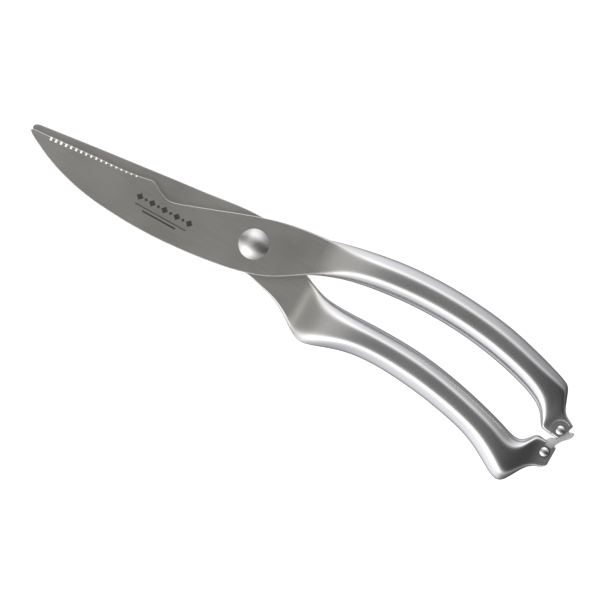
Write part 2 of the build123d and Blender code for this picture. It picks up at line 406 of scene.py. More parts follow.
class Bench:
    """Modelling moves that every piece uses."""

    @staticmethod
    def clear_selection() -> None:
        """Deselect every object."""
        if bpy.context.mode != "OBJECT":
            bpy.ops.object.mode_set(mode="OBJECT")
        bpy.ops.object.select_all(action="DESELECT")

    @staticmethod
    def hold(piece: Piece) -> None:
        """Make a piece the only selected and the active one."""
        Bench.clear_selection()
        piece.select_set(True)
        bpy.context.view_layer.objects.active = piece

    @staticmethod
    def named(name: str) -> Piece:
        """Name the active object and its mesh.

        Args:
            name: Name of the piece.

        Returns:
            The active object.
        """
        piece = bpy.context.active_object
        piece.name = name
        piece.data.name = name
        return piece

    @staticmethod
    def edit(piece: Piece) -> None:
        """Go into edit mode on one piece, in vertex mode."""
        Bench.hold(piece)
        bpy.ops.object.mode_set(mode="EDIT")
        bpy.ops.mesh.select_mode(type="VERT")

    @staticmethod
    def edit_all(piece: Piece) -> None:
        """Go into edit mode on one piece, with everything selected."""
        Bench.edit(piece)
        bpy.ops.mesh.select_all(action="SELECT")

    @staticmethod
    def extrude(height: float) -> None:
        """Extrude the selection upwards, in edit mode, by a height in metres."""
        bpy.ops.mesh.extrude_region_move(TRANSFORM_OT_translate={"value": (0, 0, height)})

    @staticmethod
    def done() -> None:
        """Leave edit mode."""
        bpy.ops.object.mode_set(mode="OBJECT")

    @staticmethod
    def pick(piece: Piece, wanted: Callable[[bmesh.types.BMVert], bool]) -> None:
        """Select vertices in edit mode by a test.

        Args:
            piece: Object in edit mode.
            wanted: Test of a vertex.
        """
        mesh = bmesh.from_edit_mesh(piece.data)
        mesh.verts.ensure_lookup_table()
        for part in (mesh.faces, mesh.edges, mesh.verts):
            for item in part:
                item.select = False
        for vert in mesh.verts:
            vert.select = wanted(vert)
        mesh.select_flush(True)
        bmesh.update_edit_mesh(piece.data)

    @staticmethod
    def settle(piece: Piece) -> None:
        """Put a piece's place, turn and scale into its mesh."""
        Bench.hold(piece)
        bpy.ops.object.transform_apply(location=True, rotation=True, scale=True)

    @staticmethod
    def outwards(piece: Piece) -> None:
        """Merge doubles and point every face outwards."""
        Bench.edit_all(piece)
        bpy.ops.mesh.remove_doubles(threshold=MERGE)
        bpy.ops.mesh.normals_make_consistent(inside=False)
        Bench.done()

    @staticmethod
    def apply(piece: Piece, kind: str, **settings: object) -> None:
        """Add a modifier to a piece and apply it.

        Args:
            piece: Object that gets the modifier.
            kind: Blender's modifier type.
            **settings: Values of the modifier's properties.
        """
        Bench.hold(piece)
        modifier = piece.modifiers.new(kind.lower(), kind)
        for key, value in settings.items():
            setattr(modifier, key, value)
        bpy.ops.object.modifier_apply(modifier=modifier.name)

    @staticmethod
    def pick_faces(piece: Piece, wanted: Test) -> bool:
        """Select faces in edit mode by the place of their middle.

        Args:
            piece: Object in edit mode.
            wanted: Test of a middle in millimetres.

        Returns:
            Whether there is any such face.
        """
        bpy.ops.mesh.select_mode(type="FACE")
        bpy.ops.mesh.select_all(action="DESELECT")
        mesh = bmesh.from_edit_mesh(piece.data)
        chosen = [face for face in mesh.faces if wanted(face.calc_center_median() / MM)]
        for face in chosen:
            face.select_set(True)
        bmesh.update_edit_mesh(piece.data)
        return bool(chosen)

    @staticmethod
    def slice(
        piece: Piece, at: Sequence[float], normal: Sequence[float],
        where: Test = lambda middle: True, clear: bool = False,
    ) -> None:
        """Cut the skin of a piece along a plane, in edit mode.

        Args:
            piece: Object in edit mode.
            at: A point of the plane in millimetres.
            normal: Normal of the plane.
            where: Test of the middles of the faces that are cut.
            clear: Whether what lies behind the plane is removed.
        """
        if Bench.pick_faces(piece, where):
            bpy.ops.mesh.bisect(
                plane_co=metres(*at), plane_no=normal, clear_inner=clear,
                threshold=PLANE_TOLERANCE,
            )

    @staticmethod
    def drop(piece: Piece, unwanted: Test) -> None:
        """Delete the faces whose middles meet a test, in edit mode."""
        if Bench.pick_faces(piece, unwanted):
            bpy.ops.mesh.delete(type="FACE")

    @staticmethod
    def cut(piece: Piece, *cutters: Piece) -> None:
        """Take cutters out of a piece and throw them away."""
        for cutter in cutters:
            Bench.apply(
                piece, "BOOLEAN", operation="DIFFERENCE", solver="EXACT", object=cutter,
                use_self=True,
            )
            bpy.data.objects.remove(cutter)

    @staticmethod
    def copy(piece: Piece, name: str) -> Piece:
        """Duplicate a piece with its own mesh.

        Args:
            piece: Object to copy.
            name: Name of the copy.

        Returns:
            The copy.
        """
        Bench.hold(piece)
        bpy.ops.object.duplicate()
        return Bench.named(name)

    @staticmethod
    def join(name: str, parts: Sequence[Piece]) -> Piece:
        """Join objects into one.

        Args:
            name: Name of the result.
            parts: Objects to join.

        Returns:
            The joined object.
        """
        Bench.hold(parts[0])
        for part in parts[1:]:
            part.select_set(True)
        bpy.ops.object.join()
        return Bench.named(name)

    @staticmethod
    def soften(piece: Piece, degrees: float) -> None:
        """Shade a piece smooth up to an angle."""
        Bench.hold(piece)
        bpy.ops.object.shade_smooth_by_angle(angle=math.radians(degrees))

    @staticmethod
    def block(low: Sequence[float], high: Sequence[float]) -> Piece:
        """A box between two corners, used as a cutter.

        Args:
            low: Lowest corner in millimetres.
            high: Highest corner in millimetres.

        Returns:
            The box.
        """
        Bench.clear_selection()
        middle = metres(*((a + b) / 2 for a, b in zip(low, high)))
        bpy.ops.mesh.primitive_cube_add(size=1.0, location=middle)
        box = bpy.context.active_object
        box.scale = metres(*(b - a for a, b in zip(low, high)))
        Bench.settle(box)
        return box

    @staticmethod
    def rod(at: Point, radius: float, z_low: float, z_high: float, segments: int = 48) -> Piece:
        """An upright cylinder.

        Args:
            at: Place of its axis in millimetres.
            radius: Radius in millimetres.
            z_low: Height of its lower end.
            z_high: Height of its upper end.
            segments: Sides of the cylinder.

        Returns:
            The cylinder.
        """
        Bench.clear_selection()
        bpy.ops.mesh.primitive_cylinder_add(
            vertices=segments, radius=radius * MM, depth=(z_high - z_low) * MM,
            location=metres(*at, (z_low + z_high) / 2),
        )
        rod = bpy.context.active_object
        Bench.settle(rod)
        return rod

    @staticmethod
    def finish(piece: Piece, finish: SteelFinish, body: Body, slot: str, *nodes: str) -> Piece:
        """Dress a piece, hang it on its body and let it stand for CAD nodes.

        Args:
            piece: Finished mesh object.
            finish: Its surface.
            body: Body that it moves with.
            slot: Not used.
            *nodes: CAD nodes that it replaces.

        Returns:
            The same object.
        """
        piece.data.materials.clear()
        piece.data.materials.append(finish.material())
        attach(piece, body.value)
        if nodes:
            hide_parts(*nodes)
        return piece


@dataclass
class Outline:
    """A flat plate with a curved outline and bevelled edges, such as a blade or the latch."""

    name: str
    points: Knots
    z_low: float
    z_high: float
    bevel: Callable[[Vector], float]
    resolution: int = 10
    widest: float = 1.8
    facets: int = 2

    def build(self) -> Piece:
        """Draw the outline, fill it, extrude it and bevel both rims.

        Returns:
            The plate.
        """
        curve = bpy.data.curves.new(self.name, "CURVE")
        curve.dimensions = "2D"
        curve.fill_mode = "NONE"
        curve.resolution_u = self.resolution
        line = curve.splines.new("BEZIER")
        line.bezier_points.add(len(self.points) - 1)
        for knot, (x, y, *given) in zip(line.bezier_points, self.points):
            corner = given[0] if given else Corner.SMOOTH
            knot.co = metres(x, y, 0.0)
            knot.handle_left_type = knot.handle_right_type = corner.value
        line.use_cyclic_u = True
        drawn = bpy.data.objects.new(self.name, curve)
        bpy.context.scene.collection.objects.link(drawn)
        drawn.location.z = self.z_low * MM
        Bench.hold(drawn)
        bpy.ops.object.convert(target="MESH")
        plate = Bench.named(self.name)
        Bench.settle(plate)
        Bench.edit_all(plate)
        bpy.ops.mesh.remove_doubles(threshold=2 * MERGE)
        bpy.ops.mesh.edge_face_add()
        Bench.extrude((self.z_high - self.z_low) * MM)
        bpy.ops.mesh.select_all(action="SELECT")
        bpy.ops.mesh.normals_make_consistent(inside=False)
        mesh = bmesh.from_edit_mesh(plate.data)
        weights = mesh.edges.layers.float.new("bevel_weight_edge")
        for edge in mesh.edges:
            low, high = sorted(vert.co.z for vert in edge.verts)
            if high - low < MERGE:
                middle = (edge.verts[0].co + edge.verts[1].co) / 2 / MM
                edge[weights] = self.bevel(middle) / self.widest
        bmesh.update_edit_mesh(plate.data)
        Bench.done()
        Bench.apply(
            plate, "BEVEL", limit_method="WEIGHT", width=self.widest * MM, segments=self.facets,
            use_clamp_overlap=False, affect="EDGES",
        )
        Bench.outwards(plate)
        return plate


def even_bevel(width: float) -> Callable[[Vector], float]:
    """Rule for Outline: a bevel of one width in millimetres."""
    return lambda middle: width


# Blades


def pivot_cutters() -> list[Piece]:
    """Cutters for the pivot hole and the spring's pocket between the blades.

    Returns:
        The cutters.
    """
    radius, depth = SPRING_POCKET
    below, above = MID_Z - BLADE_GAP - depth, MID_Z + BLADE_GAP + depth
    return [
        Bench.rod(PIVOT, PIVOT_HOLE, *PIVOT_CUT), Bench.rod(PIVOT, radius, below, above, 64)
    ]


RIM_BEVEL = 0.28       # of a blade's rims ahead of the pivot
NECK_START = 2.0       # X where the bevel starts to widen
NECK_POWER = 1.5       # how late it widens
ROOT_MARGIN = 0.05     # the root's own rim, which stays sharp
FACE_MARGIN = 0.5      # what still counts as the front face


def neck_bevel(
    front_z: float, growth: float, below_y: float = math.inf
) -> Callable[[Vector], float]:
    """Bevel of a blade's rims, which widens on the front face towards the handle.

    Args:
        front_z: Height of the blade's front face.
        growth: How much wider the bevel is at the handle.
        below_y: The bevel only widens where the rim lies below this Y.

    Returns:
        The rule for Outline.
    """

    def rule(middle: Vector) -> float:
        """Width of the bevel at the middle of one edge."""
        if middle.x > ROOT_X - ROOT_MARGIN:
            return 0.0
        share = min(1.0, max(0.0, (middle.x - NECK_START) / (ROOT_X - NECK_START)))
        widens = middle.z > front_z - FACE_MARGIN and middle.y < below_y
        return RIM_BEVEL + (growth * share ** NECK_POWER if widens else 0.0)

    return rule


@dataclass
class FrontBlade:
    """The blade that crosses over the pivot to the upper handle."""

    neck_growth: float = 0.4
    shading_angle: float = 20
    scallops: int = 18
    scallop_pitch: float = 2.18
    scallop_start: Point = (-91.3, -1.7)
    scallop_slope: float = 0.0815
    scallop_tilt: float = 30.0
    scallop_width: tuple[float, float] = (0.95, 0.55)
    scallop_reach: tuple[float, float] = (1.45, 0.65)
    hone_margin: float = 2.0
    hone_tolerance: float = 0.03
    hone_facing: float = 0.3
    bar_length: float = 8.0
    bar_thickness: float = 2.0
    etch_depth: float = 0.02
    diamonds: int = 9
    diamond_start: Point = (-49, -5.4)
    diamond_pitch: float = 2.8
    diamond_sizes: tuple[float, float] = (1.5, 0.75)
    # Y, thickness and length of the bars under the diamonds, and their middle in X.
    etched_bars: tuple[tuple[float, float, float], ...] = ((-8.6, 0.4, 23.0), (-10.0, 0.7, 15.0))
    etched_middle: float = -38
    points: Knots = (
        (26.0, 0.3, V), (20, -3.5), (15, -6.6), (10, -9.1), (0, -12.3), (-14, -14.9), (-30, -16.6),
        (-44, -17.1), (-56, -16.65), (-68, -15.45), (-80, -12.75), (-88, -9.95), (-94, -7.2),
        (-98.6, -4.75), (-100.5, -3.3, V), (-99.5, -2.35, V), (-96.5, -2.1), (-91.3, -1.7),
        (-73, -0.2), (-55, 1.3), (-50, 2.2), (-47.6, 2.6), (-46.6, 2.45), (-44.8, 1.55), (-42, 0.0),
        (-38.2, -1.2), (-34, -0.4), (-30, 1.0), (-20, 4.6), (-10, 8.3), (0, 11.6), (10, 14.1),
        (20, 15.6), (26.0, 16.2, V),
    )

    def build(self) -> list[Piece]:
        """Model and dress the blade and its etched ornament.

        Returns:
            The pieces.
        """
        blade = Outline(
            "front_blade_plate", self.points, MID_Z + BLADE_GAP, FRONT_Z,
            neck_bevel(FRONT_Z, self.neck_growth),
        ).build()
        Bench.cut(blade, self._scallop_cutter(), *pivot_cutters())
        Bench.soften(blade, self.shading_angle)
        Bench.finish(blade, BLADE_STEEL, Body.UPPER, "blade_steel", "front_blade")
        self._hone(blade)
        return [blade, self._ornament()]

    def _scallop_cutter(self) -> Piece:
        """Slanted bars that grind the scallops into the cutting edge.

        Returns:
            All cutters as one object.
        """
        bars = []
        tilt = math.radians(self.scallop_tilt)
        lean = math.atan(self.scallop_slope)
        half = self.bar_thickness / 2
        for index in range(self.scallops):
            share = index / (self.scallops - 1)
            reach = self.scallop_reach[0] + (self.scallop_reach[1] - self.scallop_reach[0]) * share
            width = self.scallop_width[0] + (self.scallop_width[1] - self.scallop_width[0]) * share
            x = self.scallop_start[0] + self.scallop_pitch * index
            y = self.scallop_start[1] + self.scallop_slope * self.scallop_pitch * index - reach
            Bench.clear_selection()
            bpy.ops.mesh.primitive_cube_add(
                size=1.0,
                rotation=(-tilt, 0, lean),
                location=metres(x, y + half * math.sin(tilt), FRONT_Z + half * math.cos(tilt)),
            )
            bar = bpy.context.active_object
            bar.scale = metres(width, self.bar_length, self.bar_thickness)
            bars.append(bar)
        cutter = Bench.join("scallop_bars", bars)
        Bench.settle(cutter)
        return cutter

    def _hone(self, blade: Piece) -> None:
        """Give the ground scallops their brighter finish."""
        blade.data.materials.append(HONED_STEEL.material())
        slope = math.cos(math.radians(self.scallop_tilt))
        end = self.scallop_start[0] + self.scallop_pitch * self.scallops
        for face in blade.data.polygons:
            on_row = self.scallop_start[0] - self.hone_margin < face.center.x / MM < end
            ground = abs(face.normal.z - slope) < self.hone_tolerance
            if on_row and ground and face.normal.y > self.hone_facing:
                face.material_index = 1

    def _ornament(self) -> Piece:
        """A row of small diamonds between thin bars, etched into the front face.

        Returns:
            The ornament.
        """
        parts = []
        along, across = self.diamond_start
        middle_z = FRONT_Z + self.etch_depth / 2
        for index in range(self.diamonds):
            Bench.clear_selection()
            size = self.diamond_sizes[index % 2]
            bpy.ops.mesh.primitive_cylinder_add(
                vertices=4, radius=size * MM, depth=self.etch_depth * MM,
                location=metres(along + self.diamond_pitch * index, across, middle_z),
            )
            parts.append(bpy.context.active_object)
        for y, thick, length in self.etched_bars:
            parts.append(Bench.block(
                (self.etched_middle - length / 2, y - thick / 2, FRONT_Z),
                (self.etched_middle + length / 2, y + thick / 2, FRONT_Z + self.etch_depth),
            ))
        mark = Bench.join("blade_ornament", parts)
        Bench.settle(mark)
        return Bench.finish(mark, ETCHED, Body.UPPER, "blade_steel")


@dataclass
class RearBlade:
    """The blade behind, which runs to the lower handle."""

    neck_growth: float = 0.9
    neck_below: float = -8.0
    shading_angle: float = 20
    points: Knots = (
        (-99.4, -3.1), (-97, -3.8), (-90, -5.6), (-75, -8.6), (-55, -10.6), (-35, -11.4),
        (-15, -11.7), (3, -11.8), (10, -13.4), (18, -15.9), (22, -18.0), (26.0, -20.6, V),
        (26.0, -1.2, V), (24.0, -0.4), (19, 3.2), (13, 7.4), (7, 10.3), (-2, 11.2), (-30, 8.5),
        (-60, 5.1), (-80, 2.75), (-90, 1.5), (-96, 0.75), (-98.8, 0.3), (-100.0, -0.5),
        (-100.3, -1.7),
    )

    def build(self) -> list[Piece]:
        """Model and dress the blade.

        Returns:
            The blade, as the only piece.
        """
        blade = Outline(
            "rear_blade_plate", self.points, REAR_Z, MID_Z - BLADE_GAP,
            neck_bevel(MID_Z - BLADE_GAP, self.neck_growth, self.neck_below),
        ).build()
        Bench.cut(blade, *pivot_cutters())
        Bench.soften(blade, self.shading_angle)
        return [Bench.finish(blade, BLADE_STEEL, Body.LOWER, "blade_steel", "rear_blade")]


# Handles


@dataclass(frozen=True)
class Station:
    """One cross-section of a hollow handle; heights are taken from the middle plane."""

    side_a: Point
    side_b: Point
    front: float
    rear: float
    flat: float = 0.0
    waist: float = 0.0


@dataclass
class HollowHandle:
    """A handle of two pressed shells, lofted through cross-sections."""

    name: str
    body: Body
    stations: list[Station]
    mouth: Callable[[Piece, Side], None]
    finish: SteelFinish
    end_sheet: str
    loop_points: int = 20
    swell: float = 1.004
    sheet: float = 1.2
    thinning: float = 16.0     # length over which the sheet reaches its thickness
    thinnest: float = 0.04     # its share at the root

    # Vertex places of a quarter section as shares of half width and height.
    ROUND = ((0.985, 0.27), (0.84, 0.645), (0.555, 0.92), (0.27, 0.995))
    FLAT = ((1.0, 0.40), (0.99, 0.86), (0.93, 0.995), (0.50, 1.0))
    NEAR = 0.05

    def _loop(self, tube: Piece, index: int, station: Station) -> None:
        """Add one cross-section loop to the tube, in edit mode.

        Args:
            tube: Object in edit mode.
            index: Number of the section.
            station: Its shape.
        """
        (ax, ay), (bx, by) = station.side_a, station.side_b
        centre = Vector(((ax + bx) / 2, (ay + by) / 2, MID_Z + station.waist)) * MM
        half = math.hypot(bx - ax, by - ay) / 2 * MM * self.swell
        turn = math.atan2(by - ay, bx - ax)
        bpy.ops.mesh.primitive_circle_add(
            vertices=self.loop_points, radius=1.0, fill_type="NOTHING",
            location=centre, rotation=(math.pi / 2, 0, 0),
        )
        first = index * self.loop_points
        mesh = bmesh.from_edit_mesh(tube.data)
        mesh.verts.ensure_lookup_table()
        ring = [vert.co - centre for vert in mesh.verts[first:]]
        for group, (round_share, flat_share) in enumerate(zip(self.ROUND, self.FLAT), start=1):
            angle = 2 * math.pi / self.loop_points * group
            base = (math.cos(angle), math.sin(angle))
            wide, high = (r + (f - r) * station.flat for r, f in zip(round_share, flat_share))

            def in_group(vert: bmesh.types.BMVert) -> bool:
                """Whether a vertex is one of this group's four."""
                if vert.index < first:
                    return False
                local = ring[vert.index - first]
                off = max(abs(abs(local.x) - base[0]), abs(abs(local.z) - base[1]))
                return off < self.NEAR

            Bench.pick(tube, in_group)
            bpy.ops.transform.resize(
                value=(wide / base[0], 1.0, high / base[1]), center_override=centre
            )
        for up, height in ((1, station.front - station.waist), (-1, station.rear + station.waist)):
            Bench.pick(tube, lambda v: v.index >= first and ring[v.index - first].z * up > 1e-4)
            bpy.ops.transform.resize(value=(1.0, 1.0, height * MM), center_override=centre)
        Bench.pick(tube, lambda v: v.index >= first)
        bpy.ops.transform.resize(value=(half, 1.0, 1.0), center_override=centre)
        bpy.ops.transform.rotate(value=-turn, orient_axis="Z", center_override=centre)

    def tube(self) -> Piece:
        """Loft the closed-section tube of both shells.

        Returns:
            The tube, open at both ends.
        """
        Bench.clear_selection()
        mesh = bpy.data.meshes.new(self.name)
        tube = bpy.data.objects.new(self.name, mesh)
        bpy.context.scene.collection.objects.link(tube)
        Bench.edit(tube)
        for index, station in enumerate(self.stations):
            self._loop(tube, index, station)
        count = self.loop_points
        for index in range(len(self.stations) - 1):
            low, high = index * count, (index + 2) * count
            Bench.pick(tube, lambda v: low <= v.index < high)
            edges = bmesh.from_edit_mesh(tube.data)
            for edge in edges.edges:
                a, b = (v.index // count for v in edge.verts)
                edge.select = a == b and a in (index, index + 1)
            bmesh.update_edit_mesh(tube.data)
            bpy.ops.mesh.select_mode(type="EDGE")
            bpy.ops.mesh.bridge_edge_loops()
            bpy.ops.mesh.select_mode(type="VERT")
        bpy.ops.mesh.select_all(action="SELECT")
        bpy.ops.mesh.normals_make_consistent(inside=False)
        Bench.done()
        Bench.apply(tube, "SUBSURF", levels=3, render_levels=3)
        return tube

    def shell(self, tube: Piece, side: Side) -> Piece:
        """Make one pressed shell from the tube.

        Args:
            tube: The whole tube.
            side: Which half of it is kept.

        Returns:
            The shell, with its sheet thickness and its mouth.
        """
        word = side.name.lower()
        shell = Bench.copy(tube, f"{self.name}_{word}")
        Bench.edit(shell)
        Bench.slice(shell, (0, 0, MID_Z), (0, 0, side.value), clear=True)
        self.mouth(shell, side)
        Bench.done()
        weights = shell.vertex_groups.new(name="sheet")
        for vert in shell.data.vertices:
            share = min(1.0, max(self.thinnest, (vert.co.x / MM - ROOT_X) / self.thinning))
            weights.add([vert.index], share, "REPLACE")
        Bench.apply(
            shell, "SOLIDIFY", thickness=self.sheet * MM, offset=-1.0, use_rim=True,
            vertex_group="sheet",
        )
        shell.vertex_groups.clear()
        Bench.outwards(shell)
        Bench.soften(shell, degrees=40)
        return Bench.finish(
            shell, self.finish, self.body, "handle_steel",
            f"{self.name}_{word}_shell", f"{self.end_sheet}_{word}_sheet",
        )

    def build(self) -> list[Piece]:
        """Model and dress both shells.

        Returns:
            The two shells.
        """
        tube = self.tube()
        shells = [self.shell(tube, side) for side in Side]
        bpy.data.objects.remove(tube)
        return shells


def open_slot(shell: Piece, side: Side, lip: Test) -> None:
    """Cut a shell's side walls back from the slot that the latch swings in, in edit mode.

    Args:
        shell: The shell.
        side: Which shell it is.
        lip: Test of the middles of the faces that the latch passes.
    """
    level = MID_Z + side.value * SLOT_HALF
    Bench.slice(shell, (0, 0, level), (0, 0, 1), lip)
    Bench.drop(shell, lambda m: lip(m) and (m.z - level) * side.value < 0)


def upper_mouth(shell: Piece, side: Side) -> None:
    """Open the upper handle's end for the latch and cut its slanted corner, in edit mode.

    Args:
        shell: The shell.
        side: Which shell it is.
    """
    start_x, top_y = 136.6, -1.0
    corner, facing, corner_x = (145.25, -6.9, 0), (-0.79, 0.61, 0), 143.0
    open_slot(shell, side, lambda m: m.x > start_x and m.y < top_y)
    Bench.slice(shell, corner, facing, lambda m: m.x > corner_x, clear=True)


def lower_mouth(shell: Piece, side: Side) -> None:
    """Open the lower handle's end for the latch and notch its front sheet, in edit mode.

    Args:
        shell: The shell.
        side: Which shell it is.
    """
    start_x, bottom_y = 138.4, -22.5
    open_slot(shell, side, lambda m: m.x > start_x and m.y > bottom_y)
    if side is not Side.FRONT:
        return
    left, right, low = 140.7, 144.3, -13.9
    beside, below = 1.2, 1.6

    def near(middle: Vector) -> bool:
        """Whether a face lies where the notch is cut."""
        return left - beside < middle.x < right + beside and middle.y > low - below

    for at, normal in (
        ((left, 0, 0), (1, 0, 0)), ((right, 0, 0), (1, 0, 0)), ((0, low, 0), (0, 1, 0))
    ):
        Bench.slice(shell, at, normal, near)
    Bench.drop(shell, lambda m: left < m.x < right and m.y > low)


# Side points, heights, flatness and waist of each section.
UPPER_STATIONS = [Station(*row) for row in (
    ((26.0, 16.2), (26.0, 0.3), 2.85, -0.05, 0.92, 1.25),
    ((27.5, 16.6), (27.6, 1.1), 2.86, 0.05, 0.80, 1.15),
    ((29.5, 17.2), (29.8, 2.0), 2.98, 0.55, 0.58, 1.00),
    ((32.5, 18.0), (33.0, 3.25), 3.40, 1.80, 0.34, 0.75),
    ((37.0, 19.1), (37.5, 4.75), 4.45, 3.70, 0.13, 0.35),
    ((42.5, 20.2), (43.0, 6.15), 5.45, 5.15, 0.06, 0.10),
    ((49.0, 21.4), (49.5, 7.3), 6.15, 6.10),
    ((57.0, 22.6), (57.0, 8.3), 6.42, 6.42),
    ((68.0, 23.4), (68.0, 9.3), 6.48, 6.48),
    ((80.0, 23.5), (79.5, 9.4), 6.48, 6.48),
    ((92.0, 22.7), (90.5, 8.8), 6.48, 6.48),
    ((104.0, 21.3), (101.5, 7.4), 6.48, 6.48),
    ((115.0, 18.9), (111.5, 5.4), 6.45, 6.45),
    ((124.0, 16.4), (120.0, 3.2), 6.20, 6.20),
    ((131.0, 14.3), (125.8, 1.2), 5.70, 5.70, 0.10),
    ((135.2, 12.8), (129.5, -0.6), 5.10, 5.10, 0.22),
    ((137.6, 11.6), (131.6, -2.2), 4.60, 4.60, 0.32),
    ((138.7, 9.6), (133.2, -3.8), 4.05, 4.05, 0.42),
    ((140.1, 5.8), (134.6, -5.9), 3.25, 3.25, 0.40),
    ((141.2, 2.9), (135.6, -7.5), 2.65, 2.65, 0.70),
    ((142.2, 1.2), (136.2, -8.3), 2.45, 2.45, 0.90),
    ((143.6, 0.2), (137.6, -8.6), 2.40, 2.40, 0.95),
    ((145.2, -0.6), (141.0, -9.0), 2.40, 2.40, 0.95),
    ((147.3, -1.8), (144.6, -9.25), 2.40, 2.40, 0.95),
)]

LOWER_STATIONS = [Station(*row) for row in (
    ((26.0, -20.6), (26.0, -1.2), -0.05, 2.85, 0.74, -1.40),
    ((27.6, -21.8), (27.6, -1.95), 0.00, 2.87, 0.62, -1.30),
    ((29.6, -23.2), (29.6, -2.75), 0.35, 2.98, 0.54, -1.10),
    ((32.2, -24.7), (32.2, -3.75), 1.50, 3.40, 0.34, -0.80),
    ((35.0, -25.4), (35.0, -4.6), 2.80, 4.05, 0.15, -0.45),
    ((38.2, -24.8), (38.0, -5.1), 4.00, 4.75, 0.10, -0.20),
    ((43.0, -23.1), (43.0, -5.4), 5.25, 5.50, 0.05, -0.05),
    ((50.0, -20.7), (50.0, -5.3), 6.15, 6.15),
    ((57.0, -19.3), (57.0, -5.05), 6.42, 6.42),
    ((66.0, -18.8), (66.0, -5.0), 6.48, 6.48),
    ((78.0, -19.5), (79.0, -5.4), 6.48, 6.48),
    ((90.0, -21.0), (92.0, -7.2), 6.48, 6.48),
    ((102.0, -23.3), (105.0, -9.9), 6.48, 6.48),
    ((112.0, -26.0), (116.0, -12.8), 6.45, 6.45),
    ((119.5, -29.9), (122.5, -14.8), 6.25, 6.25),
    ((125.5, -33.6), (127.0, -16.5), 5.90, 5.90),
    ((129.6, -35.55), (130.4, -16.9), 5.40, 5.40, 0.20),
    ((132.4, -35.0), (132.6, -15.9), 4.80, 4.80, 0.32),
    ((134.6, -31.8), (134.4, -13.7), 4.10, 4.10, 0.42),
    ((136.6, -28.1), (135.9, -11.9), 3.40, 3.40, 0.54),
    ((138.4, -25.4), (137.1, -11.5), 2.85, 2.85, 0.68),
    ((140.4, -23.6), (139.6, -11.8), 2.50, 2.50, 0.85),
    ((142.6, -22.9), (142.4, -12.0), 2.40, 2.40, 0.95),
    ((144.8, -21.6), (144.6, -12.25), 2.40, 2.40, 0.95),
    ((145.4, -20.6), (145.4, -12.9), 2.40, 2.40, 0.95),
)]


# Pivot, pins and latch


@dataclass
class DomedHead:
    """A low domed head with a short straight rim, and a shank under it."""

    name: str
    at: Point
    radius: float
    height: float
    seat: float
    shank_radius: float
    shank_low: float
    up: int = 1
    rim: float = 0.12
    clearance: float = 0.005

    def build(self) -> Piece:
        """Model the head and its shank.

        Returns:
            The pin.
        """
        rise = self.height - self.rim
        ball = (self.radius ** 2 + rise ** 2) / (2 * rise)
        ball_z = self.seat + self.up * (self.height - ball)
        Bench.clear_selection()
        bpy.ops.mesh.primitive_uv_sphere_add(
            segments=64, ring_count=96, radius=ball * MM,
            location=metres(*self.at, ball_z),
        )
        head = Bench.named(self.name)
        Bench.settle(head)
        Bench.edit_all(head)
        rim_z = (self.seat + self.up * self.rim) * MM
        bpy.ops.mesh.bisect(
            plane_co=(0, 0, rim_z), plane_no=(0, 0, self.up), clear_inner=True,
            threshold=PLANE_TOLERANCE,
        )
        Bench.pick(head, lambda v: abs(v.co.z - rim_z) < MERGE)
        Bench.extrude(-self.up * (self.rim - self.clearance) * MM)
        centre = (*metres(*self.at), rim_z)
        Bench.extrude(0)
        ratio = self.shank_radius / self.radius
        bpy.ops.transform.resize(value=(ratio, ratio, 1), center_override=centre)
        Bench.extrude(-self.up * abs(self.seat - self.shank_low) * MM)
        bpy.ops.mesh.edge_face_add()
        Bench.done()
        Bench.outwards(head)
        Bench.soften(head, degrees=30)
        return head


@dataclass
class Latch:
    """The flat swinging latch with its hook and thumb tab."""

    thickness: float = 1.5
    hole: float = 1.35
    hole_cut: tuple[float, float] = (0.0, 13.0)
    lip_half: float = 1.6
    rim_bevel: float = 0.12
    resolution: int = 6
    lip_points: Knots = (
        (147.7, -7.2), (148.3, -7.2), (149.05, -5.9), (149.25, -4.45, V), (148.5, -4.45, V),
        (148.25, -6.0),
    )
    points: Knots = (
        (140.4, -14.2), (140.6, -12.4), (141.3, -10.6), (143.9, -9.0), (145.1, -6.9),
        (145.25, -4.9, V), (144.65, -4.2, V), (145.2, -3.5), (146.3, -3.5), (147.2, -4.6),
        (148.2, -4.2), (149.2, -4.35), (149.0, -5.9), (148.3, -7.3), (146.5, -9.1), (145.2, -11.0),
        (144.3, -13.0), (144.4, -15.0), (144.3, -17.6), (141.9, -19.1), (139.6, -17.6),
    )

    def build(self) -> list[Piece]:
        """Model and dress the latch.

        Returns:
            The latch, as the only piece.
        """
        half = self.thickness / 2
        bevel = even_bevel(self.rim_bevel)
        latch = Outline(
            "latch_plate", self.points, MID_Z - half, MID_Z + half, bevel, self.resolution
        ).build()
        Bench.cut(latch, Bench.rod(LATCH_PIN, self.hole, *self.hole_cut))
        lip = Outline(
            "latch_lip", self.lip_points, MID_Z - self.lip_half, MID_Z + self.lip_half, bevel,
            self.resolution,
        ).build()
        latch = Bench.join("latch", [latch, lip])
        Bench.soften(latch, degrees=30)
        return [Bench.finish(latch, LATCH_STEEL, Body.LATCH, "latch_steel", "latch_lever")]


